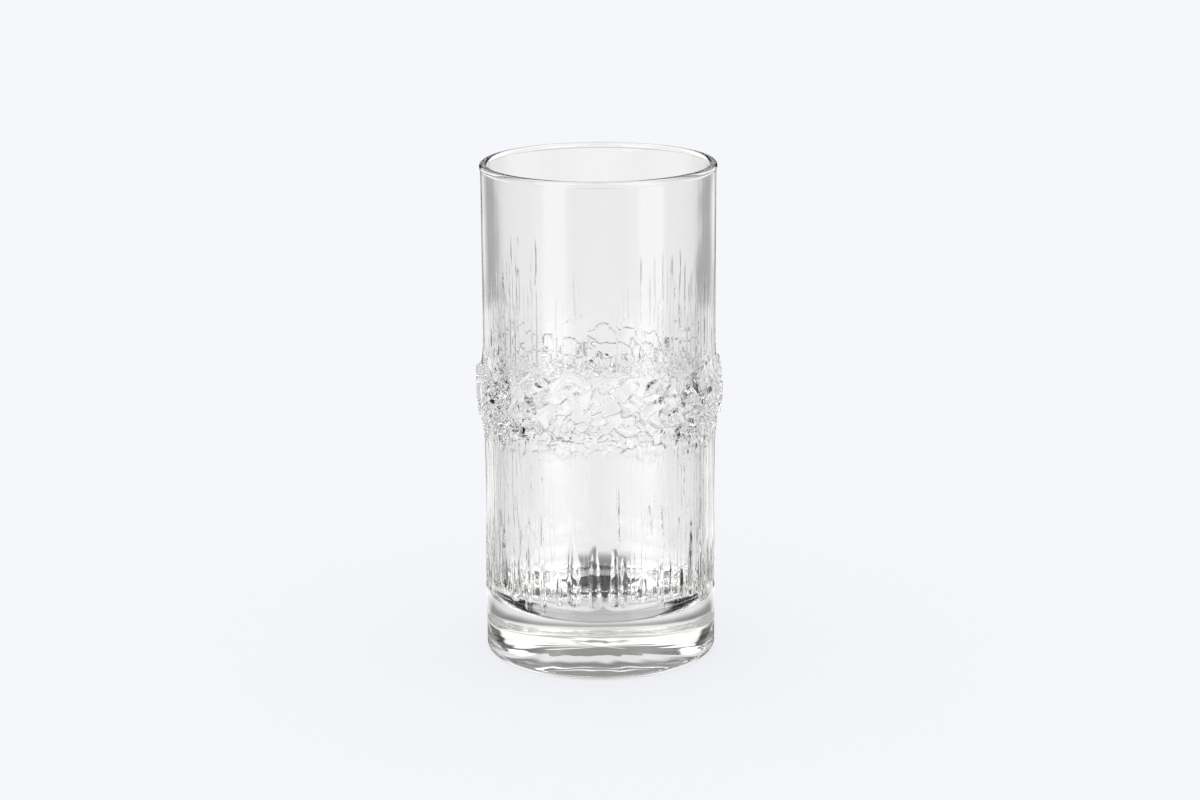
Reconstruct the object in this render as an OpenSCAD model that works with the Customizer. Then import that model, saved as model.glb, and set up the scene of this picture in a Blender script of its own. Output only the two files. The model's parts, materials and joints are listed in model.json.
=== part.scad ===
// Highball tumbler in clear pressed glass: one solid piece that stands on a ring foot.
// The wall is smooth at the mouth and around the thick base. Between the two it carries
// fine upright ribs, parted at mid height by a proud collar of icy lumps.
// Z points up. The origin is at the middle of the foot, on the surface it stands on.

/* [Body] */
// Height from the foot to the top of the lip
body_h = 142; // [128:1:180]
// Outer diameter of the smooth wall
body_d = 66; // [60:1:80]
// Thickness of the wall at the mouth
mouth_wall = 2; // [1.6:0.1:3]
// Thickness of the wall at the foot of the cavity
low_wall = 2.6; // [2.2:0.1:4]
// Depth of the straight bore, from the top of the lip
bore_depth = 26; // [12:1:40]
// How far the rounded lip stands out past the wall
lip_out = 0.35; // [0.1:0.05:0.8]

/* [Base] */
// Thickness of the solid base at its middle, above the foot's level
base_t = 15; // [8:0.5:22]
// Radius of the corner between the wall and the floor of the cavity
floor_fillet = 8; // [4:0.5:12]
// Depth of the hollow under the base
punt_depth = 2.6; // [0.6:0.1:4]
// Width of the flat ring that touches the table
foot_w = 3; // [1.5:0.5:6]
// Radius of the rounded edge outside the foot
heel_r = 1.5; // [1:0.25:4]
// Height of the smooth band around the base
band_h = 18.5; // [12:0.5:28]

/* [Collar] */
// Height of the widest part of the collar
collar_z = 79; // [70:0.5:90]
// Height of the smooth bulge that carries the lumps
bulge_h = 17; // [12:0.5:20]
// How far the smooth bulge stands out past the wall
bulge_out = 1; // [0.5:0.1:2]
// How far the tallest lumps stand out past the wall
lump_out = 2.6; // [1.6:0.1:3.5]
// Height of the belt of lumps
lump_belt_h = 17; // [12:0.5:20]

/* [Ribs] */
// Number of ribs around the glass
rib_count = 120; // [60:2:140]
// How far the wall falls back behind the ribs
rib_relief = 0.4; // [0.25:0.05:0.6]
// Height above the bulge at which the wall is smooth again
tip_reach = 38; // [24:1:44]
// Height over which the wall steps back above the base band
band_slope_h = 5; // [3:0.5:9]

/* [Hidden] */

// Radii of the body
body_r = body_d / 2;
mouth_r = body_r - mouth_wall;
low_r = body_r - low_wall;
fallen_r = body_r - rib_relief;
// A radius in the middle of the wall, where the relief is rooted
root_r = body_r - mouth_wall / 2;

// The lip is a round bead that sits on the inner wall and stands out past the outer one
lip_r = (mouth_wall + lip_out) / 2;
lip_z = body_h - lip_r;
lip_end = -acos((mouth_wall - lip_r) / lip_r);

// Heights of the collar and of the smooth wall above the ribs
bulge_top = collar_z + bulge_h / 2;
smooth_z = bulge_top + tip_reach;
// Radius and half angle of the bulge's outline
bulge_bend = (pow(bulge_out, 2) + pow(bulge_h / 2, 2)) / (2 * bulge_out);
bulge_half = asin(bulge_h / 2 / bulge_bend);

// The foot ring, and the shallow dome of the hollow inside it
foot_out = body_r - heel_r;
foot_in = foot_out - foot_w;
punt_bend = (pow(punt_depth, 2) + pow(foot_in, 2)) / (2 * punt_depth);
punt_half = asin(foot_in / punt_bend);

// Share of the relief that the lowest and the highest ridges reach, by rib field
upper_ridge_shares = [0.35, 0.92];
lower_ridge_shares = [0.45, 0.95];
// Share of a rib's pitch at which its ridge stands, least and most
ridge_place_shares = [0.38, 0.62];

// Lumps around the collar, and rows of them from the bottom of the belt to the top
lump_count = 72;
lump_rows = 8;
// Share of a lump's pitch by which it may stray from its place
stray_share = 0.26;
// Share of the belt's height at which the lumps are tallest
crest_share = 0.72;
// Share of its full height that the lowest lump keeps
low_lump_share = 0.08;
// Share of its full height that the smallest lump of a row keeps
least_lump_share = 0.4;

// Steps along an arc of the section, and facets around the body
arc_steps = 8;
body_fn = 180;

// Angles per copy and a factor that spread the repeatable scatter
scatter_turns = [127.1, 311.7];
scatter_gain = 43758.5453;
// Rows of the scatter, one for each use, and the first of several for the rows of lumps
upper_rib_row = 1;
lower_rib_row = 3;
lump_rise_row = 20;
lump_turn_row = 40;
lump_size_row = 85;

// A repeatable value from 0 to 1 for copy i of row k
function scatter(i, k) =
    let (s = scatter_gain * sin(i * scatter_turns[0] + k * scatter_turns[1]))
    s - floor(s);

// A value between the two in a pair, at a share from 0 to 1
function between(pair, share) = pair[0] + (pair[1] - pair[0]) * share;

// Points along an arc about [x, z], from angle a to angle b
function arc(x, z, r, a, b) = [
    for (i = [0:arc_steps])
        let (t = a + (b - a) * i / arc_steps)
        [x + r * cos(t), z + r * sin(t)]
];

// Inner outline, from the middle of the floor up to the bore under the lip
function cavity_points() = concat(
    [[0, base_t]],
    arc(low_r - floor_fillet, base_t + floor_fillet, floor_fillet, -90, 0),
    [[mouth_r, body_h - bore_depth]]
);

// Outer outline, from the lip down past the ribs and the collar to the base band
function wall_points() = concat(
    arc(mouth_r + lip_r, lip_z, lip_r, 180, lip_end),
    [[body_r, smooth_z], [fallen_r, bulge_top]],
    arc(fallen_r + bulge_out - bulge_bend, collar_z, bulge_bend, bulge_half, -bulge_half),
    [[fallen_r, band_h + band_slope_h], [body_r, band_h]]
);

// Underside, from the rounded heel over the foot ring to the middle of the punt
function foot_points() = concat(
    arc(foot_out, heel_r, heel_r, 0, -90),
    arc(0, punt_depth - punt_bend, punt_bend, 90 - punt_half, 90)
);

// The plain glass without its relief: walls, thick base, lip, bulge and punt
module plain_glass() {
    rotate_extrude($fn = body_fn)
        polygon(concat(cavity_points(), wall_points(), foot_points()));
}

// A ring of upright ridges. The wall slopes out over each ridge at its ends, and as no
// two ridges are alike in height, each comes to its point at a level of its own.
module rib_ring(low_z, high_z, row, ridge_shares) {
    pitch = 360 / rib_count;
    function valley(i) = [fallen_r - rib_relief / 2, i * pitch];
    function ridge(i) = [
        fallen_r + rib_relief * between(ridge_shares, scatter(i, row)),
        (i + between(ridge_place_shares, scatter(i, row + 1))) * pitch
    ];
    outline = [for (i = [0:rib_count - 1]) each [valley(i), ridge(i)]];
    translate([0, 0, low_z])
        linear_extrude(height = high_z - low_z)
            difference() {
                polygon([for (p = outline) [p[0] * cos(p[1]), p[0] * sin(p[1])]]);
                circle(r = root_r, $fn = body_fn);
            }
}

module upper_ribs() {
    rib_ring(collar_z, smooth_z, upper_rib_row, upper_ridge_shares);
}

module lower_ribs() {
    rib_ring(band_h, collar_z, lower_rib_row, lower_ridge_shares);
}

// How far the lumps may rise over the sunken wall, at a share of the belt's height:
// little at the bottom, most near the crest, and nothing at the top
function lump_reach(share) =
    share < crest_share
        ? between([low_lump_share, 1], (1 - cos(180 * share / crest_share)) / 2)
        : cos(90 * (share - crest_share) / (1 - crest_share));

// One point of the belt of lumps: copy i around, row j upwards
function lump_point(i, j) =
    let (
        share = (j - 0.5 + stray_share * (2 * scatter(i, lump_rise_row + j) - 1)) / lump_rows,
        turn = i + (j % 2) / 2 + stray_share * (2 * scatter(i, lump_turn_row + j) - 1),
        reach = (lump_out + rib_relief) * lump_reach(share),
        size_share = between([least_lump_share, 1], scatter(i, lump_size_row + j)),
        r = fallen_r - rib_relief + (reach + rib_relief) * size_share
    )
    [r * cos(turn * 360 / lump_count), r * sin(turn * 360 / lump_count), share * lump_belt_h];

// A belt of icy lumps: a crumpled skin over the bulge, closed by a ring inside the wall
module lump_belt() {
    last = lump_rows + 1;
    points = [
        for (j = [0:last], i = [0:lump_count - 1])
            let (t = (i + (j % 2) / 2) * 360 / lump_count)
            j == 0 || j == last
                ? [root_r * cos(t), root_r * sin(t), j == 0 ? 0 : lump_belt_h]
                : lump_point(i, j)
    ];
    // Each cell between two rows is split so that its short diagonal follows the stagger
    function cell(i, j) =
        let (
            n = (i + 1) % lump_count,
            a = j * lump_count,
            b = ((j + 1) % (last + 1)) * lump_count
        )
        j % 2 == 0
            ? [[a + i, b + i, a + n], [a + n, b + i, b + n]]
            : [[a + i, b + i, b + n], [a + i, b + n, a + n]];
    translate([0, 0, collar_z - crest_share * lump_belt_h])
        polyhedron(points, [for (j = [0:last], i = [0:lump_count - 1]) each cell(i, j)]);
}

module glass_tumbler() {
    color([0.92, 0.95, 0.96, 0.5])
        union() {
            plain_glass();
            upper_ribs();
            lower_ribs();
            lump_belt();
        }
}

glass_tumbler();
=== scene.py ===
"""A clear pressed-glass highball: its cast relief, its material and the studio around it.

Lengths are in millimetres where a name or a comment says so, and MM turns them into metres.
"""

import json
import math

import bpy
import numpy as np
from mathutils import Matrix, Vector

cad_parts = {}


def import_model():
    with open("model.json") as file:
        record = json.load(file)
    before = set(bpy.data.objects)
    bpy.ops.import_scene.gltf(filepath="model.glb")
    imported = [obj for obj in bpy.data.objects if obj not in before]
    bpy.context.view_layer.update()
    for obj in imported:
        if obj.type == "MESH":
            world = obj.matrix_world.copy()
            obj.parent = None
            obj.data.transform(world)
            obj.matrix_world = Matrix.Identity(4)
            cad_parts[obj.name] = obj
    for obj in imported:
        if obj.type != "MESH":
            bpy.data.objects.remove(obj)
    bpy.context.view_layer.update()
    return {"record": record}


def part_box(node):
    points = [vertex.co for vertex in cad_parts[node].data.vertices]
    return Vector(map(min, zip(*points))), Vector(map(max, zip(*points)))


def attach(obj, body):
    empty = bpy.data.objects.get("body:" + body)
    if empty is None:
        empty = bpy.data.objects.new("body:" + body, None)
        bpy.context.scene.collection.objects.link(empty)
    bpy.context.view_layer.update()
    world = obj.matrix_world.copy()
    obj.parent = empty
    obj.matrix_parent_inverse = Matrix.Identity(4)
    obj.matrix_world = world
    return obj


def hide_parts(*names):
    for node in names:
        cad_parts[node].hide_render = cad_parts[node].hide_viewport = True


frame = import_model()

MM = 0.001
TURN = 2 * math.pi
NODE = "glass_tumbler"
MOUNTS = {mount["name"]: mount for mount in frame["record"]["mounts"]}

# The section of the glass, in mm, as the solid has it
BODY_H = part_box(NODE)[1][2] / MM
WALL_R = 33.0
MOUTH_R = MOUNTS["mouth"]["dims"]["r_mm"]
LOW_R = 30.4
LIP_R = 1.175
BORE_Z = BODY_H - LIP_R - MOUNTS["mouth"]["dims"]["length_mm"]
BASE_T = 15.0
FLOOR_FILLET = 8.0
PUNT_DEPTH = 2.6
FOOT_IN = 28.5
HEEL_R = 1.5

# Heights of the relief, in mm
BAND_TOP = 18.5
COLLAR_LOW = 71.0
COLLAR_Z = 79.0
COLLAR_TOP = 88.6
SMOOTH_Z = 126.0

# How far the wall falls back behind the ribs, in mm: everywhere, and more towards the base.
# Each starts over a height above the band, and ends between two heights.
FALL = 0.05
FALL_RUN = 3.0
FALL_END = [100.0, SMOOTH_Z]
LOW_FALL = 0.22
LOW_FALL_RUN = 3.5
LOW_FALL_END = [30.0, 72.0]

# The collar, in mm: how far its smooth bulge and its tallest lumps stand out, the last stretch
# of that, which is rounded off, and the heights over which the bulge rises and ends
BULGE_OUT = 0.75
COLLAR_OUT = 2.3
SOFT_OUT = 0.3
BULGE_FOOT = [70.5, 76.5]
BULGE_HEAD = [COLLAR_TOP + 1.6, COLLAR_Z + 1.5]

# Ribs around the glass and their widths as shares of the mean. A narrow groove parts each from
# the next, and the mesh has these columns across a rib, as shares of its width, with the share
# of its height at each. In the collar the columns stand evenly instead.
RIBS = 120
RIB_WIDTH_SHARES = [0.6, 1.4]
RIB_SHARES = [0.0, 0.045, 0.09, 0.3, 0.5, 0.7, 0.91, 0.955]
RIB_HEIGHT_SHARES = [0.0, 0.55, 0.97, 0.99, 1.0, 0.99, 0.97, 0.55]
RIB_COLUMNS = len(RIB_SHARES)
EVEN_SHARES = [i / RIB_COLUMNS for i in range(RIB_COLUMNS)]
COLUMNS = RIBS * RIB_COLUMNS

# The ribs wander by these shares of a rib's width, everywhere and more below the collar. That
# starts over WANDER_RUN and dies out from WANDER_TOP on, and over EVEN_RUN they turn to the
# collar's even columns. A drift changes over its step, and a finer one is added. All in mm.
WANDER_SHARE = 0.14
LOW_WANDER_SHARE = 0.2
WANDER_RUN = 4.0
WANDER_TOP = 112.0
EVEN_RUN = 3.0
DRIFT_STEP = 7.0
FINE_DRIFT_STEP = 2.5
FINE_DRIFT_SHARE = 0.5

# Grooves: the least and greatest depth of the deep ones and the greatest of the faint ones, in
# mm, and the share of deep ones. A spread is the two numbers of a beta distribution, and a
# groove comes to its depth over GROOVE_START.
UPPER_DEPTHS = [0.12, 0.34, 0.05, 0.85]
LOWER_DEPTHS = [0.05, 0.17, 0.06, 0.75]
DEPTH_SPREAD = [1.3, 1.6]
FAINT_SHARES = [0.2, 1.0]
GROOVE_START = 1.5
# Where the wall turns from clear to lined, on a scale from 0 in the middle of a clear stretch
# to 1 in the middle of a lined one, and the shares of deep grooves and of faint ones' depth
# that are left in the clear ones
LINED_SPAN = [0.12, 0.4]
CLEAR_DEEP_SHARE = 0.25
CLEAR_FAINT_SHARE = 0.4
# Tips of the grooves above the collar, in mm: the lowest, their span, and a few taller ones.
# The depth runs out towards them by a power, and the grooves' feet stray up and down.
TIP_LOW = 98.0
TIP_SPAN = 16.0
TIP_SPREAD = [2.2, 1.6]
TALL_SHARE = 0.16
TALL_RISE = [3.0, 11.0]
TIP_POWER = 0.5
FOOT_STRAY = 2.0
# How even their depth is: a steady share, and shares that change over so many mm
STEADY_SHARE = 0.45
RUN_SHARE = 0.5
RUN_STEP = 5.0
FINE_RUN_SHARE = 0.4
FINE_RUN_STEP = 1.5
# Below the collar the grooves are broken: the least share of the depth that is left, the
# values of a noise between which they turn whole, and the mm over which it changes. They start
# at uneven heights, end at the collar and are heavier near the base.
BREAK_LEAST_SHARE = 0.25
BREAK_SPAN = [0.25, 0.65]
BREAK_STEP = 5.0
FINE_BREAK_SHARE = 0.6
FINE_BREAK_STEP = 1.6
LOW_ENDS = [18.5, 23.0]
LOWER_END = 2.0
HEAVY_SHARE = 0.3
HEAVY_SPAN = [24.0, 46.0]

# Fields of lumps. Each has a row of the random source, the pitch and the height of its lumps
# in mm, how much their faces tilt, the width of their creases in mm, and heights along the
# glass with the share of the lumps' height there.
MAIN_LUMPS = {"row": 50, "pitch": 4.0, "height": 1.75, "tilt": 0.45, "crease": 0.4,
              "belt": [73.0, 76.0, 80.0, 83.0, 85.5], "shares": [0.3, 0.9, 1.0, 0.45, 0.0]}
UNDER_LUMPS = {"row": 53, "pitch": 2.7, "height": 1.6, "tilt": 0.6, "crease": 0.35,
               "belt": [66.0, 69.5, 73.5, 78.0], "shares": [0.1, 0.6, 1.0, 0.5]}
SPECKS = {"row": 56, "pitch": 1.7, "height": 1.0, "tilt": 0.5, "crease": 0.3,
          "belt": [60.0, 65.0, 70.0, 73.0], "shares": [0.0, 0.4, 0.9, 0.5]}
BEADS = {"row": 59, "pitch": 1.9, "height": 0.5, "tilt": 0.1, "crease": 0.4,
         "belt": [86.0, 88.5, 91.0, 94.0, 99.0], "shares": [0.0, 1.0, 0.8, 0.5, 0.0]}
# How deep specks and beads are sunk in the wall, in mm, and the share of what stands out of
# the beads that is kept
SPECKS_SUNK = 0.2
BEADS_SUNK = 0.28
BEADS_SHARE = 0.9
# Waves that bend a field, by its pitch
BEND_SIZE_SHARE = 0.35
BEND_LENGTH_SHARE = 2.2
BEND_TURN_SHARES = [1.0, 0.7, 1.4]
BEND_RISE_SHARES = [1.1, 1.7, 0.8]
# Cells of a field: how far their middles stray, by the pitch, how many neighbours are searched
# each way, the least gap between two middles in mm, and a square distance past all others
STRAY_SHARE = 0.42
NEIGHBOURS = 2
LEAST_GAP = 0.3
FAR = 1e6
# Lumps: the smallest by their field's height, how their sizes are spread, the height at which
# a leaning face is cut off, and the width in mm of the step between two and of the rim around
# one, which ends at this share of the pitch
LEAST_LUMP_SHARE = 0.3
LUMP_SPREAD = [1.4, 1.0]
LUMP_LIMIT_SHARE = 1.1
STEP_W = 0.22
RIM_W = 0.6
RIM_SHARE = 0.85
# Creases between lumps, here and there: waves by the pitch, on the row so far above the field's
CREASE_ROW = 80
CREASE_TURN_SHARES = [1.3, 0.9, 0.6]
CREASE_RISE_SHARES = [2.0, 1.0, 1.5]
CREASE_SPAN = [0.0, 0.5]
CREASE_POWER = 1.7

# Long drops that end at the base band, in mm: half width, height of the foot, length and relief
DRIPS = 46
DRIP_STRAY_SHARE = 0.4
DRIP_HALF = [0.7, 2.4]
DRIP_FOOT = [18.0, 23.0]
DRIP_LENGTH = [8.0, 30.0]
DRIP_OUT = [0.4, 0.8]
DRIP_TAPER_SHARE = 0.75
DRIP_FADE_SHARE = 0.55
# The drops stand on a level so far under the wall, and end below this height
DRIP_SUNK = 0.1
DRIP_TOP = 60.0

# Ripples: turns around the glass, lengths along it in mm, and size in mm
WALL_RIPPLE = {"turns": [3, 7, 11, 16], "lengths": [90, 40, 33, 27], "size": 0.03}
BULGE_RIPPLE = {"turns": [9, 14, 23, 31], "lengths": [50, 30, 20, 14], "size": 1.6}
INNER_RIPPLE = {"turns": [2, 5, 9, 14], "lengths": [120, 70, 45, 30], "size": 0.035}
PUNT_RIPPLE = {"turns": [3, 7, 13, 19], "lengths": [60, 40, 30, 25], "size": 0.05}
RIPPLE_BEND = 1.5
# The cavity's floor has the inner wall's ripple at this share of its size, so many times closer
FLOOR_RIPPLE_SHARE = 0.02
FLOOR_RIPPLE_CLOSER = 3
# Ripples start over the lowest of so many parts of the inner wall, and in the punt they start
# and end over these widths in mm
INNER_START_PARTS = 6
PUNT_EDGE = 4
PUNT_CORE = 12

# Rows of the mesh on the outside: stretches of height and the step between rows, in mm
OUTER_ROWS = [(HEEL_R, 16.0, 2.3), (16.0, 27.0, 0.45), (27.0, 62.0, 0.9), (62.0, 67.0, 0.4),
              (67.0, 89.0, 0.2), (89.0, 91.0, 0.3), (91.0, 98.0, 0.45), (98.0, 127.0, 1.1),
              (127.0, BODY_H - 4.0, 2.0)]
# Rings and arc steps elsewhere, the radius of the smallest ring in mm, and the angle by which
# the lip's arc stops short of the wall
CORE_R = 1.5
FLOOR_RINGS = 9
FILLET_STEPS = 12
INNER_RINGS = 24
BORE_RINGS = 7
LIP_STEPS = 18
LIP_SHORT = 6
HEEL_STEPS = 8
PUNT_RINGS = 26

# The random source, and its row for each use outside the fields of lumps. A field takes its own
# row, the next three, and the one CREASE_ROW above its own.
SEED = 7
ROWS = {
    "rib widths": 1, "tips": 2, "run": 3, "low ends": 4, "breaks": 5, "fine breaks": 6,
    "drift": 8, "fine drift": 9, "upper depths": 12, "fine run": 13, "lower depths": 14,
    "drips": 30, "wall": 40, "bulge": 44, "cavity floor": 60, "inner wall": 61, "punt": 62,
}


def rng(row):
    """A repeatable source of random values of its own for each use."""
    return np.random.default_rng([SEED, row])


def smooth(low, high, value):
    """0 below low, 1 above high and an S between them."""
    t = np.clip((value - low) / (high - low), 0.0, 1.0)
    return t * t * (3.0 - 2.0 * t)


def waves(theta, z, row, turns, lengths, size):
    """Slow ripples around and along the glass, at most about size high."""
    source = rng(row)
    total = np.zeros(np.broadcast(theta, z).shape)
    for turn, length in zip(turns, lengths):
        phase, slope = source.uniform(0, TURN, 2)
        total += np.cos(turn * theta + phase + RIPPLE_BEND * np.sin(z * TURN / length + slope))
    return size * total / len(turns)


def rib_angles():
    """The angle at which each rib starts, and the angle that it takes up."""
    widths = rng(ROWS["rib widths"]).uniform(*RIB_WIDTH_SHARES, RIBS)
    widths *= TURN / widths.sum()
    return np.cumsum(widths) - widths, widths


RIB_START, RIB_WIDTH = rib_angles()
THETA = (RIB_START[:, None] + RIB_WIDTH[:, None] * np.array(RIB_SHARES)).ravel()
EVEN_THETA = (RIB_START[:, None] + RIB_WIDTH[:, None] * np.array(EVEN_SHARES)).ravel()
RIB_SHARE = np.tile(RIB_SHARES, RIBS)
RIB_HEIGHT = np.tile(RIB_HEIGHT_SHARES, RIBS)


def run_noise(z, use, step):
    """A smooth random value from 0 to 1 per height and rib, that changes over step mm."""
    knots = int(BODY_H / step) + 3
    table = rng(ROWS[use]).uniform(0, 1, (knots, RIBS))
    place = z / step
    low = np.floor(place).astype(int)
    t = (place - low)[:, None]
    t = t * t * (3 - 2 * t)
    return table[low] * (1 - t) + table[low + 1] * t


def per_column(values):
    """One value per rib, spread over its columns."""
    return np.repeat(values, RIB_COLUMNS, axis=-1)


def wandering(z):
    """Angle of every column at every height: the ribs wander, most below the collar."""
    drift = run_noise(z, "drift", DRIFT_STEP)
    drift = drift + FINE_DRIFT_SHARE * run_noise(z, "fine drift", FINE_DRIFT_STEP)
    drift = drift - (1 + FINE_DRIFT_SHARE) / 2
    after = np.roll(drift, -1, axis=1)
    drift = per_column(drift) * (1 - RIB_SHARE) + per_column(after) * RIB_SHARE
    reach = WANDER_SHARE + LOW_WANDER_SHARE * (1 - smooth(COLLAR_LOW - WANDER_RUN, COLLAR_LOW, z))
    reach *= smooth(BAND_TOP, BAND_TOP + WANDER_RUN, z) * (1 - smooth(WANDER_TOP, SMOOTH_Z, z))
    even = smooth(COLLAR_LOW - EVEN_RUN, COLLAR_LOW, z)
    even *= 1 - smooth(COLLAR_TOP - EVEN_RUN, COLLAR_TOP, z)
    start = THETA + (EVEN_THETA - THETA) * even[:, None]
    return start + drift * reach[:, None] * TURN / RIBS


def groove_depths(use, low, high, faint, deep_share):
    """Depth of each groove: most are faint and some are cut deep. The deep ones stand together,
    so that two clear stretches of wall, opposite each other, lie between the lined ones."""
    source = rng(ROWS[use])
    lined = smooth(*LINED_SPAN, 0.5 - 0.5 * np.cos(2 * (RIB_START + TURN / 4)))
    deep_kept = CLEAR_DEEP_SHARE + (1 - CLEAR_DEEP_SHARE) * lined
    faint_kept = CLEAR_FAINT_SHARE + (1 - CLEAR_FAINT_SHARE) * lined
    is_deep = source.uniform(0, 1, RIBS) < deep_share * deep_kept
    deep = low + (high - low) * source.beta(*DEPTH_SPREAD, RIBS)
    return np.where(is_deep, deep, faint * source.uniform(*FAINT_SHARES, RIBS) * faint_kept)


def upper_grooves(z):
    """Depth of each groove above the collar: deep at its foot and drawn out to a point."""
    source = rng(ROWS["tips"])
    tips = TIP_LOW + TIP_SPAN * source.beta(*TIP_SPREAD, RIBS)
    tall = source.uniform(0, 1, RIBS) < TALL_SHARE
    tips[tall] += source.uniform(*TALL_RISE, tall.sum())
    depth = groove_depths("upper depths", *UPPER_DEPTHS)
    rise = np.clip((tips[None, :] - z[:, None]) / (tips - COLLAR_TOP)[None, :], 0, 1)
    feet = COLLAR_TOP + source.uniform(-FOOT_STRAY, FOOT_STRAY, RIBS)
    start = smooth(0.0, GROOVE_START, z[:, None] - feet[None, :])
    uneven = STEADY_SHARE + RUN_SHARE * run_noise(z, "run", RUN_STEP)
    uneven = uneven + FINE_RUN_SHARE * run_noise(z, "fine run", FINE_RUN_STEP)
    return depth * rise ** TIP_POWER * start * uneven


def lower_grooves(z):
    """Depth of each groove below the collar: broken like bark, and deepest near the base."""
    source = rng(ROWS["low ends"])
    depth = groove_depths("lower depths", *LOWER_DEPTHS)
    whole = smooth(*BREAK_SPAN, run_noise(z, "breaks", BREAK_STEP))
    breaks = BREAK_LEAST_SHARE + (1 - BREAK_LEAST_SHARE) * whole
    breaks *= FINE_BREAK_SHARE + FINE_BREAK_SHARE * run_noise(z, "fine breaks", FINE_BREAK_STEP)
    low_ends = source.uniform(*LOW_ENDS, RIBS)
    start = smooth(0.0, GROOVE_START, z[:, None] - low_ends[None, :])
    end = 1 - smooth(COLLAR_LOW, COLLAR_LOW + LOWER_END, z)[:, None]
    heavy = 1.0 + HEAVY_SHARE * (1 - smooth(*HEAVY_SPAN, z))[:, None]
    return depth * breaks * start * end * heavy


def bent(theta, z, row, size, length):
    """Coordinates of the wall in mm, bent by waves so that what is laid out on them curves."""
    around = round(TURN * WALL_R / length)
    turns = [round(share * around) for share in BEND_TURN_SHARES]
    lengths = [share * length for share in BEND_RISE_SHARES]
    up = np.broadcast_to(z[:, None], theta.shape)
    x = theta * WALL_R + waves(theta, up, row, turns, lengths, size)
    return x, up + waves(theta, up, row + 1, turns, lengths, size)


def cells(x, y, row, low, high, pitch):
    """Scatters cells over a belt. For each point of the grid: the distance to the edge of its
    cell in mm, and for its own cell and the next one the vector from its middle and its index.
    The heights of all middles come last."""
    source = rng(row)
    rows = max(1, round((high - low) / pitch))
    length = TURN * WALL_R
    count = round(length / pitch)
    i, j = np.meshgrid(np.arange(count), np.arange(rows), indexing="ij")
    stray_x = source.uniform(-STRAY_SHARE, STRAY_SHARE, i.shape)
    stray_y = source.uniform(-STRAY_SHARE, STRAY_SHARE, i.shape)
    middle_x = (i + 0.5 * (j % 2) + stray_x) * length / count
    middle_y = low + (j + 0.5 + stray_y) * (high - low) / rows
    across = np.floor(x * count / length).astype(int)
    up = np.floor((y - low) * rows / (high - low)).astype(int)
    around = []
    for step in range(-NEIGHBOURS, NEIGHBOURS + 1):
        for rise in range(-NEIGHBOURS, NEIGHBOURS + 1):
            i, j = (across + step) % count, np.clip(up + rise, 0, rows - 1)
            dx = (x - middle_x[i, j] + length / 2) % length - length / 2
            dy = y - middle_y[i, j]
            missing = np.where(j == up + rise, 0.0, FAR)
            around.append(np.stack([dx * dx + dy * dy + missing, dx, dy, i * rows + j]))
    around = np.array(around)
    order = np.argpartition(around[:, 0], 1, axis=0)[:2]
    near, other = [np.take_along_axis(around, k[None, None], axis=0)[0] for k in order]
    gap = np.hypot(near[1] - other[1], near[2] - other[2])
    edge = (other[0] - near[0]) / (2 * np.maximum(gap, LEAST_GAP))
    return edge, [(k[1], k[2], k[3].astype(int)) for k in (near, other)], middle_y.ravel()


def lumps(theta, z, row, pitch, height, tilt, crease, belt, shares):
    """Packed lumps with leaning faces over the level 0. Steep steps part them, and here and
    there a crease. Each lump stands as high as the share at its middle says."""
    low, high = belt[0], belt[-1]
    inside = (z > low - pitch) & (z < high + pitch)
    level = np.zeros(theta.shape)
    x, y = bent(theta[inside], z[inside], row + 2, BEND_SIZE_SHARE * pitch,
                BEND_LENGTH_SHARE * pitch)
    edge, pair, middles = cells(x, y, row, low, high, pitch)
    source = rng(row + 1)
    share = np.interp(middles, belt, shares)
    size = LEAST_LUMP_SHARE + (1 - LEAST_LUMP_SHARE) * source.beta(*LUMP_SPREAD, len(middles))
    top = height * size * share
    lean = source.normal(0, tilt, (len(middles), 2)) * share[:, None]
    near, other = [np.clip(top[k] + lean[k, 0] * vx + lean[k, 1] * vy, 0, height * LUMP_LIMIT_SHARE)
                   for vx, vy, k in pair]
    face = other + (near - other) * (0.5 + 0.5 * smooth(0, STEP_W, edge))
    turns = [round(TURN * WALL_R / (width * pitch)) for width in CREASE_TURN_SHARES]
    lengths = [rise * pitch for rise in CREASE_RISE_SHARES]
    rough = waves(x / WALL_R, y, row + CREASE_ROW, turns, lengths, 1.0)
    depth = smooth(*CREASE_SPAN, rough)
    shoulder = np.clip(1 - edge / crease, 0, 1)
    rim = smooth(0, RIM_W, RIM_SHARE * pitch - np.hypot(*pair[0][:2]))
    level[inside] = face * rim * (1 - depth * shoulder ** CREASE_POWER)
    return level


def drips(theta, z):
    """Long drops that run down to the smooth band: round at their feet, thin at the top."""
    source = rng(ROWS["drips"])
    stray = source.uniform(-DRIP_STRAY_SHARE, DRIP_STRAY_SHARE, DRIPS)
    level = np.zeros(theta.shape)
    up = z[:, None]
    for place in (np.arange(DRIPS) + stray) * TURN / DRIPS:
        half = source.uniform(*DRIP_HALF)
        foot = source.uniform(*DRIP_FOOT)
        length = source.uniform(*DRIP_LENGTH)
        out = source.uniform(*DRIP_OUT)
        dx = ((theta - place + math.pi) % TURN - math.pi) * WALL_R
        width = half * (1 - DRIP_TAPER_SHARE * np.clip((up - foot) / length, 0, 1))
        under_foot = np.clip(foot + half - up, 0, None)
        far = np.hypot(dx, under_foot) / width
        top = 1 - smooth(DRIP_FADE_SHARE * length, length, up - foot)
        level = np.maximum(level, out * np.sqrt(np.clip(1 - far * far, 0, 1)) * top)
    return level


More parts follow.
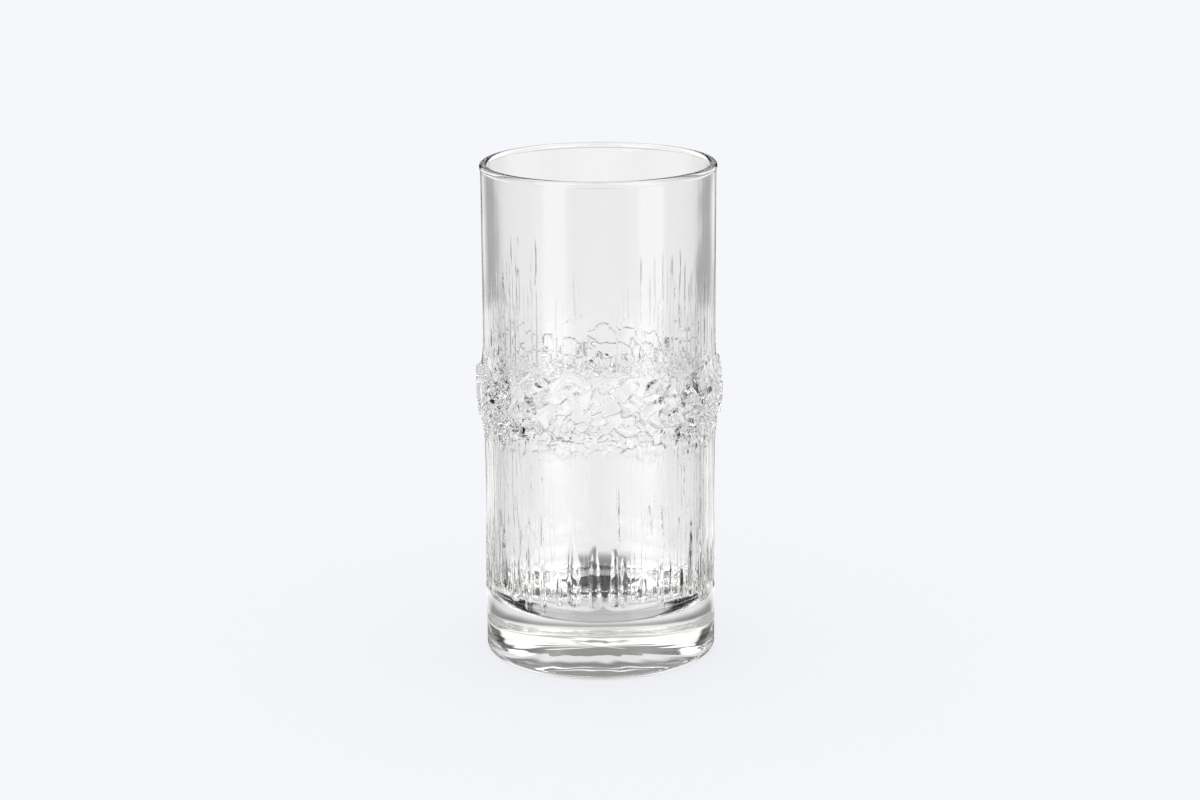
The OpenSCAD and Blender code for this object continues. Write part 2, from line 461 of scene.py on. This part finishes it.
def relief(theta, z):
    """How far the outside stands out past the plain wall, in mm, for heights by columns."""
    row = z[:, None]
    # The wall falls back behind the ribs, a little more towards the base
    low_fall = LOW_FALL * smooth(BAND_TOP, BAND_TOP + LOW_FALL_RUN, row)
    low_fall = low_fall * (1 - smooth(*LOW_FALL_END, row))
    fall = FALL * smooth(BAND_TOP, BAND_TOP + FALL_RUN, row) * (1 - smooth(*FALL_END, row))
    level = -low_fall - fall
    ripple = waves(theta, row, ROWS["wall"], **WALL_RIPPLE)
    grooves = per_column(upper_grooves(z) + lower_grooves(z)) * (1 - RIB_HEIGHT)
    beads = np.clip(lumps(theta, z, **BEADS) - BEADS_SUNK, 0, None)
    wall = level - grooves + ripple + BEADS_SHARE * beads
    # The smooth bulge that carries the lumps: a hollow slope above, a short round one below
    uneven = waves(theta, row, ROWS["bulge"], **BULGE_RIPPLE)
    bulge = BULGE_OUT * smooth(*BULGE_HEAD, row + uneven) * smooth(*BULGE_FOOT, row)
    main = lumps(theta, z, **MAIN_LUMPS)
    under = lumps(theta, z, **UNDER_LUMPS)
    specks = np.clip(lumps(theta, z, **SPECKS) - SPECKS_SUNK, 0, None)
    collar = wall + bulge + np.maximum(main, np.maximum(under, specks))
    over = np.minimum(0, COLLAR_OUT - SOFT_OUT - collar)
    collar = np.minimum(collar, COLLAR_OUT - SOFT_OUT * np.exp(over))
    foot = level - DRIP_SUNK + drips(theta, z)
    return np.where(row < DRIP_TOP, np.maximum(collar, foot), collar)


def arc_points(x, z, r, start, end, steps):
    """Points of the section along an arc, angles in degrees."""
    turns = np.radians(np.linspace(start, end, steps + 1))
    return [(x + r * math.cos(t), z + r * math.sin(t)) for t in turns]


def outer_heights():
    """Heights of the mesh's rows on the outside, closest where the relief is finest."""
    rows = [np.linspace(a, b, max(2, round((b - a) / step)), endpoint=False)
            for a, b, step in OUTER_ROWS]
    return np.concatenate(rows)


def ring(r, z, theta=THETA):
    """One ring of the skin, in mm. Radius and height are one value, or one for each column."""
    r = np.broadcast_to(np.asarray(r, float), (COLUMNS,))
    z = np.broadcast_to(np.asarray(z, float), (COLUMNS,))
    return np.stack([r * np.cos(theta), r * np.sin(theta), z], axis=1)


def inner_ripple(z, use):
    return waves(THETA, np.array(z), ROWS[use], **INNER_RIPPLE)


def cavity_rings():
    """From the middle of the floor over the fillet and the tapering wall up to the bore."""
    fillet_r = LOW_R - FLOOR_FILLET
    inner_foot = BASE_T + FLOOR_FILLET
    rings = []
    for r in np.linspace(CORE_R, fillet_r, FLOOR_RINGS)[:-1]:
        uneven = FLOOR_RIPPLE_SHARE * inner_ripple(r * FLOOR_RIPPLE_CLOSER, "cavity floor")
        rings.append(ring(r, BASE_T + uneven))
    for r, z in arc_points(fillet_r, inner_foot, FLOOR_FILLET, -90, 0, FILLET_STEPS):
        rings.append(ring(r, z))
    for z in np.linspace(inner_foot, BORE_Z, INNER_RINGS)[1:]:
        share = (z - inner_foot) / (BORE_Z - inner_foot)
        uneven = inner_ripple(z, "inner wall") * min(1.0, share * INNER_START_PARTS)
        rings.append(ring(LOW_R + (MOUTH_R - LOW_R) * share + uneven, z))
    lip_z = BODY_H - LIP_R
    for z in np.linspace(BORE_Z, lip_z, BORE_RINGS)[1:-1]:
        uneven = inner_ripple(z, "inner wall") * (lip_z - z) / (lip_z - BORE_Z)
        rings.append(ring(MOUTH_R + uneven, z))
    return rings


def outer_rings():
    """The lip bead, then down the outside over the relief."""
    lip_end = -math.degrees(math.acos((WALL_R - MOUTH_R - LIP_R) / LIP_R)) + LIP_SHORT
    bead = arc_points(MOUTH_R + LIP_R, BODY_H - LIP_R, LIP_R, 180, lip_end, LIP_STEPS)
    heights = outer_heights()[::-1]
    angles = wandering(heights)
    radii = WALL_R + relief(angles, heights)
    wall = [ring(r, z, theta) for z, theta, r in zip(heights, angles, radii)]
    return [ring(r, z) for r, z in bead] + wall


def foot_rings():
    """The heel, the foot ring and the hollow under the base."""
    heel = arc_points(WALL_R - HEEL_R, HEEL_R, HEEL_R, 0, -90, HEEL_STEPS)[1:]
    rings = [ring(r, z) for r, z in heel] + [ring(FOOT_IN, 0)]
    bend = (PUNT_DEPTH ** 2 + FOOT_IN ** 2) / (2 * PUNT_DEPTH)
    for r in np.linspace(FOOT_IN, CORE_R, PUNT_RINGS)[1:]:
        uneven = waves(THETA, np.array(r), ROWS["punt"], **PUNT_RIPPLE)
        uneven *= min(1.0, (FOOT_IN - r) / PUNT_EDGE, r / PUNT_CORE)
        rings.append(ring(r, PUNT_DEPTH - bend + math.sqrt(bend ** 2 - r ** 2) + uneven))
    return rings


def ring_normals(rings):
    """Normals of the rings' points, weighted by area, so that the wide tops of the ribs stay
    flat beside the narrow grooves."""
    grid = np.array(rings)
    right = np.roll(grid, -1, axis=1)
    faces = np.cross(grid[1:] - right[:-1], right[1:] - grid[:-1])
    total = np.zeros(grid.shape)
    for part in (faces, np.roll(faces, 1, axis=1)):
        total[:-1] += part
        total[1:] += part
    return total / np.linalg.norm(total, axis=2, keepdims=True)


def skin(name, rings, top_z, end_z):
    """Joins the rings into one closed mesh, with a point at either end on the axis."""
    count = len(rings)
    places = np.concatenate(rings + [[[0, 0, top_z], [0, 0, end_z]]]) * MM
    first, last = count * COLUMNS, count * COLUMNS + 1
    i = np.arange(COLUMNS)
    n = (i + 1) % COLUMNS
    quads = []
    for k in range(count - 1):
        a, b = k * COLUMNS, (k + 1) * COLUMNS
        quads.append(np.stack([a + n, a + i, b + i, b + n], axis=1))
    quads = np.concatenate(quads)
    caps = [(first, int(j), int(m)) for j, m in zip(i, n)]
    base = (count - 1) * COLUMNS
    caps += [(last, base + int(m), base + int(j)) for j, m in zip(i, n)]
    mesh = bpy.data.meshes.new(name)
    mesh.from_pydata(places.tolist(), [], quads.tolist() + caps)
    mesh.validate()
    mesh.shade_smooth()
    normals = ring_normals(rings).reshape(-1, 3).tolist()
    mesh.normals_split_custom_set_from_vertices(normals + [(0, 0, 1), (0, 0, -1)])
    piece = bpy.data.objects.new(name, mesh)
    bpy.context.collection.objects.link(piece)
    return piece


# The glass: index, the grey that a thick piece has, and the broad, shallow waves that the mould
# leaves on it
GLASS_INDEX = 1.5
TINT = (0.9, 0.905, 0.895, 1.0)
TINT_DENSITY = 12.0
MOULD_SCALE = 90.0
MOULD_DETAIL = 1.0
MOULD_DEPTH = 0.01 * MM


def glass_material():
    """Clear soda-lime glass with a faint waviness of its own."""
    material = bpy.data.materials.new("clear_glass")
    material.use_nodes = True
    nodes, links = material.node_tree.nodes, material.node_tree.links
    shader = nodes["Principled BSDF"]
    shader.inputs["Base Color"].default_value = (1.0, 1.0, 1.0, 1.0)
    shader.inputs["Roughness"].default_value = 0.0
    shader.inputs["IOR"].default_value = GLASS_INDEX
    shader.inputs["Transmission Weight"].default_value = 1.0
    tint = nodes.new("ShaderNodeVolumeAbsorption")
    tint.inputs["Color"].default_value = TINT
    tint.inputs["Density"].default_value = TINT_DENSITY
    links.new(tint.outputs[0], nodes["Material Output"].inputs["Volume"])
    coords = nodes.new("ShaderNodeTexCoord")
    noise = nodes.new("ShaderNodeTexNoise")
    noise.inputs["Scale"].default_value = MOULD_SCALE
    noise.inputs["Detail"].default_value = MOULD_DETAIL
    links.new(coords.outputs["Object"], noise.inputs["Vector"])
    bump = nodes.new("ShaderNodeBump")
    bump.inputs["Strength"].default_value = 1.0
    bump.inputs["Distance"].default_value = MOULD_DEPTH
    links.new(noise.outputs["Fac"], bump.inputs["Height"])
    links.new(bump.outputs[0], shader.inputs["Normal"])
    return material


def tumbler():
    """The whole glass: one closed skin that takes the solid's place."""
    rings = cavity_rings() + outer_rings() + foot_rings()
    piece = skin("tumbler", rings, BASE_T, PUNT_DEPTH)
    piece.data.materials.append(glass_material())
    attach(piece, "root")
    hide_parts(NODE)
    return piece


# The camera of the photograph, fitted to the outline: mm, degrees and pixels of 1200 x 800
CAMERA_BACK = 794.4
CAMERA_UP = 281.5
CAMERA_PITCH = 14.71
CAMERA_ROLL = -0.345
FOCAL_PX = 2875.0
AXIS_PX = 599.6
FRAME_W = 1200.0
SENSOR_W = 36.0
# Nearest and farthest that it sees, in metres
CLIP = [0.01, 50.0]


def camera():
    data = bpy.data.cameras.new("camera")
    data.sensor_width = SENSOR_W
    data.lens = FOCAL_PX / FRAME_W * SENSOR_W
    data.shift_x = (FRAME_W / 2 - AXIS_PX) / FRAME_W
    data.clip_start, data.clip_end = CLIP
    eye = bpy.data.objects.new("camera", data)
    eye.location = (0, -CAMERA_BACK * MM, CAMERA_UP * MM)
    eye.rotation_mode = "ZXY"
    eye.rotation_euler = (math.radians(90 - CAMERA_PITCH), 0, math.radians(CAMERA_ROLL))
    bpy.context.collection.objects.link(eye)
    bpy.context.scene.camera = eye


def math_node(tree, operation, *inputs):
    """A Math node on sockets or plain numbers."""
    node = tree.nodes.new("ShaderNodeMath")
    node.operation = operation
    for socket, value in zip(node.inputs, inputs):
        if isinstance(value, (int, float)):
            socket.default_value = value
        else:
            tree.links.new(value, socket)
    return node.outputs[0]


def times(tree, first, second):
    return math_node(tree, "MULTIPLY", first, second)


def fade(tree, value, start, end):
    """An S from 0 at start to 1 at end."""
    node = tree.nodes.new("ShaderNodeMapRange")
    node.interpolation_type = "SMOOTHSTEP"
    node.inputs["From Min"].default_value = start
    node.inputs["From Max"].default_value = end
    tree.links.new(value, node.inputs["Value"])
    return node.outputs["Result"]


# The studio as the glass shows it: the world's light, and on the floor painted light and shade that
# only the glass shows. A white floor has the level 1, and angles are in degrees.
# What is laid out by compass angle mostly repeats, so that the glass looks alike from many
# sides. A height above the horizon is a pair: its middle and half the width of its soft edge.
# A span is a pair too: the angles from its middle at which a sector starts to fade and ends.
# A distance from the glass's axis is a pair in metres: where a change starts and is complete.
PAPER = (0.921, 0.930, 0.965, 1.0)
# The floor's colour in the glass, where it glows by a painted level of light and shade
PAPER_IN_GLASS = (0.93, 0.93, 0.935, 1.0)
ROOM_IN_GLASS = (1.0, 0.99, 0.975, 1.0)
WHITE = (1.0, 1.0, 1.0, 1.0)
# Parts of the compass that are alike, and angles from the front of each
HALVES = 2
QUARTERS = 4
EIGHTHS = 8
AHEAD = 0.0
DIAGONAL = 45.0
SIDE = 90.0
AHEAD_SPAN = [8.0, 40.0]
# White backdrop: its top straight ahead, its middle height between, and its top as the thin
# walls show it
BACKDROP = 1.2
BACKDROP_TOP = [19.5, 0.8]
BACKDROP_HIGH = 28.0
LOW_TOP = [12.0, 2.0]
# Its greyer foot, and a dark slot ahead, as the base shows it
FOOT_LEVEL = 0.58
FOOT_TOP = [4.5, 2.0]
SLOT = 0.35
SLOT_LOW = [9.0, 1.0]
SLOT_TOP = [13.0, 1.0]
SLOT_SPAN = [3.0, 11.0]
# The room above it as the base shows it, grey ahead and darker between, and white overhead
ROOM_AHEAD = 0.34
ROOM_BETWEEN = 0.14
OVERHEAD = 0.95
OVERHEAD_LOW = [54.0, 4.0]
# The same room as the thin walls show it
DARK_ROOM = 0.06
# Upright light panels in the room, four of them around the glass. PANEL is also the level of the
# light panels painted on the floor.
PANEL = 3.0
PANEL_MIDDLE = 50.0
PANEL_HALF = 10.5
PANEL_EDGE = 5.0
PANEL_LOW = [32.0, 2.0]
PANEL_TOP = [64.0, 2.0]
# Two light panels painted on the floor, painted reflections that the front of the glass mirrors:
# each a middle and a half width, their share of light close by, and painted light on the floor that
# the glass mirrors at its edges
PAINTED_FRONT_PANELS = [(-43.0, 11.5), (51.0, 13.0)]
PANEL_NEAR = 0.4
GRAZING = 1.3
GRAZING_SPAN = [12.0, 26.0]
# The surroundings as the glass mirrors them: dark, with four bright walls on a bright floor. On the
# floor, the dark MIRROR level and the bright floor are painted shade and painted light.
# The walls are narrower below WALL_RISE than above it.
MIRROR = 0.12
MIRROR_ROOM = 0.05
BRIGHT_WALL = 2.6
WALL_LOW = [16.0, 23.0]
WALL_HIGH = [28.0, 34.0]
WALL_RISE = [50.0, 5.0]
WALL_TOP = [65.0, 3.0]
PAINTED_FLOOR_LIGHT = 0.9
BRIGHT_AWAY = [0.24, 0.16]
# Grey strips of painted shade on the floor behind the glass, either side of each straight view:
# their level and where they start, and their darker level farthest away and on the backdrop
STRIP = 0.9
STRIP_AWAY = [0.17, 0.28]
STRIP_TOP = 0.48
STRIP_TOP_AWAY = [0.42, 0.46]
STRIP_MIDDLE = 22.5
STRIP_SPAN = [6.0, 12.0]
# Dark corners of the room as the base shows them, at an angle either side of the front and of
# the back, and the angle at which the painted shadow on the floor reaches wider
CORNER = 0.06
CORNER_LOW = [8.0, 2.0]
CORNER_MIDDLE = 58.0
CORNER_SPAN = [7.0, 13.0]
FLOOR_CORNER_MIDDLE = 53.0
FLOOR_CORNER_SPAN = [10.0, 18.0]
# The floor after one mirroring inside the wall, as the wall's edges and the lumps show it, in
# painted
# light and shade: light near the glass but dark at its sides, and farthest away white ahead and
# grey between
EDGE_NEAR = 0.95
EDGE_SIDE = 0.0
EDGE_SIDE_SPAN = [27.0, 38.0]
EDGE_FAR = 0.25
EDGE_FAR_SPAN = [10.0, 40.0]
# Painted shadow of the glass on the floor, as the glass shows it: under the glass, and in a dark
# ring around its foot. Past the base the ring is narrow, and past the cavity it is wide but shows
# only within SHADE_SPAN of each straight view.
UNDER = 0.62
SHADE = 0.3
UNDER_AWAY = [0.029, 0.036]
CAVITY_AWAY = [0.043, 0.06]
BASE_AWAY = [0.036, 0.042]
CORNER_AWAY = [0.044, 0.056]
SHADE_SPAN = [7.0, 12.0]
# Share of the floor's own light in what the camera sees of it, which softens the shadow
FLOOR_GLOW = 0.75
# Half the floor's side, and how far it lies under the foot, in metres
FLOOR_HALF = 6.0
FLOOR_DROP = 0.0001
# A path's depths are whole numbers, and a limit lies half a step past one. One wall of glass
# refracts it twice.
HALF_STEP = 0.5
ONE_WALL = 2


def compass(tree, vector):
    """The angle about Z of a place or direction, in radians from -Y, and its coordinates."""
    split = tree.nodes.new("ShaderNodeSeparateXYZ")
    tree.links.new(vector, split.inputs[0])
    back = times(tree, split.outputs["Y"], -1.0)
    return math_node(tree, "ARCTAN2", split.outputs["X"], back), split.outputs


def repeat(tree, angle, turns, middle, inside, outside):
    """1 within the angle inside of each of so many middles, falling to 0 at the angle outside."""
    turned = math_node(tree, "SUBTRACT", angle, math.radians(middle))
    swing = math_node(tree, "COSINE", times(tree, turned, float(turns)))
    return fade(tree, swing, math.cos(math.radians(turns * outside)),
                math.cos(math.radians(turns * inside)))


def between(tree, share, low, high):
    """A level from low to high, by a share from 0 to 1."""
    return math_node(tree, "MULTIPLY_ADD", share, high - low, low)


def blend(tree, share, low, high):
    """The same between two sockets."""
    rise = math_node(tree, "SUBTRACT", high, low)
    return math_node(tree, "MULTIPLY_ADD", share, rise, low)


def light(tree, kind, color, strength):
    node = tree.nodes.new(kind)
    node.inputs["Color"].default_value = color
    if isinstance(strength, float):
        node.inputs["Strength"].default_value = strength
    else:
        tree.links.new(strength, node.inputs["Strength"])
    return node.outputs[0]


def mixed(tree, factor, low, high):
    node = tree.nodes.new("ShaderNodeMixShader")
    tree.links.new(factor, node.inputs["Fac"])
    tree.links.new(low, node.inputs[1])
    tree.links.new(high, node.inputs[2])
    return node.outputs[0]


def through_glass(tree, path):
    """1 for what the camera sees in or through glass, with no matt surface on the way."""
    glass = math_node(tree, "MAXIMUM", path["Is Glossy Ray"], path["Is Transmission Ray"])
    return times(tree, glass, math_node(tree, "LESS_THAN", path["Diffuse Depth"], HALF_STEP))


def deeper(tree, depth, count):
    """1 once a path has been through more than count such surfaces."""
    return math_node(tree, "GREATER_THAN", depth, count + HALF_STEP)


def sine(degrees):
    return math.sin(math.radians(degrees))


def above(tree, up, height, edge):
    """1 above a height over the horizon and 0 below it, by the sine of a direction's height."""
    return fade(tree, up, sine(height - edge), sine(height + edge))


def below(tree, up, height, edge):
    return fade(tree, up, sine(height + edge), sine(height - edge))


def bright_walls(tree, angle, span):
    return repeat(tree, angle, QUARTERS, DIAGONAL, *span)


def strips(tree, angle):
    return repeat(tree, angle, EIGHTHS, STRIP_MIDDLE, *STRIP_SPAN)


def corners(tree, angle, middle, span):
    """Two pairs of corners, one at either side of the back and of the front."""
    return math_node(tree, "MAXIMUM", repeat(tree, angle, HALVES, middle, *span),
                     repeat(tree, angle, HALVES, -middle, *span))


def room_above(tree, past_cavity, ahead, angle, up):
    """The room over the backdrop: greys, light panels and a white ceiling."""
    greys = between(tree, ahead, ROOM_BETWEEN, ROOM_AHEAD)
    grey = blend(tree, above(tree, up, *OVERHEAD_LOW), greys, OVERHEAD)
    grey = blend(tree, past_cavity, grey, DARK_ROOM)
    panels = repeat(tree, angle, QUARTERS, PANEL_MIDDLE, PANEL_HALF - PANEL_EDGE,
                    PANEL_HALF + PANEL_EDGE)
    upright = times(tree, above(tree, up, *PANEL_LOW), below(tree, up, *PANEL_TOP))
    return math_node(tree, "MULTIPLY_ADD", times(tree, panels, upright), PANEL, grey)


def backdrop(tree, angle, up):
    """The backdrop as the base shows it: a greyer foot, dark corners and a dark slot ahead."""
    level = between(tree, above(tree, up, *FOOT_TOP), FOOT_LEVEL, BACKDROP)
    corner = times(tree, corners(tree, angle, CORNER_MIDDLE, CORNER_SPAN),
                   above(tree, up, *CORNER_LOW))
    slot = times(tree, above(tree, up, *SLOT_LOW), below(tree, up, *SLOT_TOP))
    slot = times(tree, slot, repeat(tree, angle, QUARTERS, AHEAD, *SLOT_SPAN))
    level = times(tree, level, between(tree, corner, 1.0, CORNER))
    return times(tree, level, between(tree, slot, 1.0, SLOT))


def mirrored_room(tree, angle, up):
    """The room as the glass mirrors it: dark, with bright walls."""
    walls = blend(tree, above(tree, up, *WALL_RISE), bright_walls(tree, angle, WALL_LOW),
                  bright_walls(tree, angle, WALL_HIGH))
    walls = times(tree, walls, below(tree, up, *WALL_TOP))
    return between(tree, walls, MIRROR_ROOM, BRIGHT_WALL)


def room_level(tree, path, angle, up):
    """The room around the glass, by compass angle and by the sine of the height above it."""
    ahead = repeat(tree, angle, QUARTERS, AHEAD, *AHEAD_SPAN)
    past_cavity = deeper(tree, path["Transmission Depth"], ONE_WALL)
    # A path that went into the glass and out once shows the room straight, even if mirrored
    once_through = math_node(tree, "COMPARE", path["Transmission Depth"], ONE_WALL, HALF_STEP)
    mirrored = times(tree, deeper(tree, path["Glossy Depth"], 0),
                     math_node(tree, "SUBTRACT", 1.0, once_through))
    room = room_above(tree, past_cavity, ahead, angle, up)
    lift = between(tree, ahead, sine(BACKDROP_TOP[0]) - sine(BACKDROP_HIGH), 0.0)
    paper = below(tree, math_node(tree, "ADD", up, lift), *BACKDROP_TOP)
    paper = blend(tree, past_cavity, paper, below(tree, up, *LOW_TOP))
    sides = between(tree, strips(tree, angle), 1.0, STRIP_TOP)
    paper_level = blend(tree, past_cavity, backdrop(tree, angle, up), sides)
    straight = blend(tree, paper, room, paper_level)
    return blend(tree, mirrored, straight, mirrored_room(tree, angle, up))


def world():
    """White to the camera and to the floor. In the glass it is a backdrop in a grey room."""
    sky = bpy.data.worlds.new("studio")
    bpy.context.scene.world = sky
    sky.use_nodes = True
    tree = sky.node_tree
    tree.nodes.clear()
    out = tree.nodes.new("ShaderNodeOutputWorld")
    path = tree.nodes.new("ShaderNodeLightPath").outputs
    coords = tree.nodes.new("ShaderNodeTexCoord")
    angle, place = compass(tree, coords.outputs["Generated"])
    level = room_level(tree, path, angle, place["Z"])
    room = light(tree, "ShaderNodeBackground", ROOM_IN_GLASS, level)
    ambient = light(tree, "ShaderNodeBackground", WHITE, 1.0)
    seen = light(tree, "ShaderNodeBackground", PAPER, 1.0)
    shader = mixed(tree, through_glass(tree, path), ambient, room)
    tree.links.new(mixed(tree, path["Is Camera Ray"], shader, seen), out.inputs["Surface"])


def painted_foot_shadow(tree, past_cavity, angle, away):
    """Painted shadow of the glass on the floor around and under it."""
    inner = between(tree, fade(tree, away, *UNDER_AWAY), UNDER, SHADE)
    at_corners = corners(tree, angle, FLOOR_CORNER_MIDDLE, FLOOR_CORNER_SPAN)
    past_base = blend(tree, at_corners, fade(tree, away, *BASE_AWAY),
                      fade(tree, away, *CORNER_AWAY))
    aside = between(tree, repeat(tree, angle, QUARTERS, AHEAD, *SHADE_SPAN), 1.0, 0.0)
    wide = blend(tree, fade(tree, away, *CAVITY_AWAY), aside, 1.0)
    return blend(tree, blend(tree, past_cavity, past_base, wide), inner, 1.0)


def edge_floor(tree, angle, away):
    """The floor as the wall's edges and the lumps show it, mirrored once inside the wall, in
    painted light and shade.
    """
    sides = repeat(tree, angle, HALVES, SIDE, *EDGE_SIDE_SPAN)
    near = between(tree, sides, EDGE_NEAR, EDGE_SIDE)
    far = between(tree, repeat(tree, angle, QUARTERS, AHEAD, *EDGE_FAR_SPAN), EDGE_FAR, 1.0)
    return blend(tree, fade(tree, away, *STRIP_TOP_AWAY), near, far)


def front_floor(tree, angle, away):
    """The floor as the front of the glass mirrors it: painted dark, with two painted light panels.
    """
    spots = [repeat(tree, angle, 1, middle, half - PANEL_EDGE, half + PANEL_EDGE)
             for middle, half in PAINTED_FRONT_PANELS]
    strength = between(tree, fade(tree, away, *STRIP_AWAY), PANEL_NEAR, 1.0)
    spots = times(tree, math_node(tree, "ADD", *spots), strength)
    grazing = times(tree, repeat(tree, angle, QUARTERS, DIAGONAL, *GRAZING_SPAN), GRAZING)
    return math_node(tree, "MAXIMUM", between(tree, spots, MIRROR, PANEL), grazing)


def inner_floor(tree, angle, away):
    """The floor as the walls past the cavity mirror it: painted dark, and painted light close by in
    front of the bright walls."""
    bright = times(tree, bright_walls(tree, angle, WALL_HIGH), fade(tree, away, *BRIGHT_AWAY))
    return between(tree, bright, MIRROR, PAINTED_FLOOR_LIGHT)


def floor_level(tree, path, angle, away):
    """The floor as the glass shows it: through it, through its edge, or mirrored in it. Its level
    is painted light and shade.
    """
    past_cavity = deeper(tree, path["Transmission Depth"], ONE_WALL)
    # Grey strips of painted shade, which only the glass shows of the floor
    strip = times(tree, strips(tree, angle), fade(tree, away, *STRIP_AWAY))
    strip_level = between(tree, fade(tree, away, *STRIP_TOP_AWAY), STRIP, STRIP_TOP)
    straight = blend(tree, strip, 1.0, strip_level)
    refracted = deeper(tree, path["Transmission Depth"], 0)
    mirrored = blend(tree, refracted, front_floor(tree, angle, away), edge_floor(tree, angle, away))
    mirrored = blend(tree, past_cavity, mirrored, inner_floor(tree, angle, away))
    level = blend(tree, deeper(tree, path["Glossy Depth"], 0), straight, mirrored)
    # The floor's level, darkened by the painted shadow of the glass
    return times(tree, level, painted_foot_shadow(tree, past_cavity, angle, away))


def floor_material():
    """Pale and matt, with painted light and shade that only the glass shows of it, by the path of
    each ray.
    """
    material = bpy.data.materials.new("floor")
    material.use_nodes = True
    material.cycles.emission_sampling = "NONE"
    tree = material.node_tree
    tree.nodes.clear()
    out = tree.nodes.new("ShaderNodeOutputMaterial")
    path = tree.nodes.new("ShaderNodeLightPath").outputs
    matt = tree.nodes.new("ShaderNodeBsdfDiffuse")
    matt.inputs["Color"].default_value = PAPER
    where = tree.nodes.new("ShaderNodeNewGeometry")
    angle, place = compass(tree, where.outputs["Position"])
    across = times(tree, place["X"], place["X"])
    away = math_node(tree, "SQRT", math_node(tree, "MULTIPLY_ADD", place["Y"], place["Y"], across))
    glow = light(tree, "ShaderNodeEmission", PAPER, 1.0)
    # What the glass shows of the floor glows by a painted level of light and shade
    level = floor_level(tree, path, angle, away)
    in_glass = light(tree, "ShaderNodeEmission", PAPER_IN_GLASS, level)
    open_view = times(tree, path["Is Camera Ray"], FLOOR_GLOW)
    shader = mixed(tree, open_view, matt.outputs[0], glow)
    shader = mixed(tree, through_glass(tree, path), shader, in_glass)
    tree.links.new(shader, out.inputs["Surface"])
    return material


def floor():
    """A pale matt floor that keeps the shadow of the glass."""
    sides = [(-1, -1), (1, -1), (1, 1), (-1, 1)]
    mesh = bpy.data.meshes.new("floor")
    mesh.from_pydata([(x * FLOOR_HALF, y * FLOOR_HALF, 0) for x, y in sides], [], [(0, 1, 2, 3)])
    obj = bpy.data.objects.new("floor", mesh)
    obj.location = (0, 0, -FLOOR_DROP)
    bpy.context.collection.objects.link(obj)
    obj.data.materials.append(floor_material())


# Enough bounces for light to cross the ribs and the thick base
BOUNCES = 32
GLOSSY_BOUNCES = 24


def cycles_depth():
    cycles = bpy.context.scene.cycles
    cycles.max_bounces = BOUNCES
    cycles.transmission_bounces = BOUNCES
    cycles.glossy_bounces = GLOSSY_BOUNCES


camera()
tumbler()
world()
floor()
cycles_depth()
bpy.context.scene.view_settings.view_transform = "Standard"
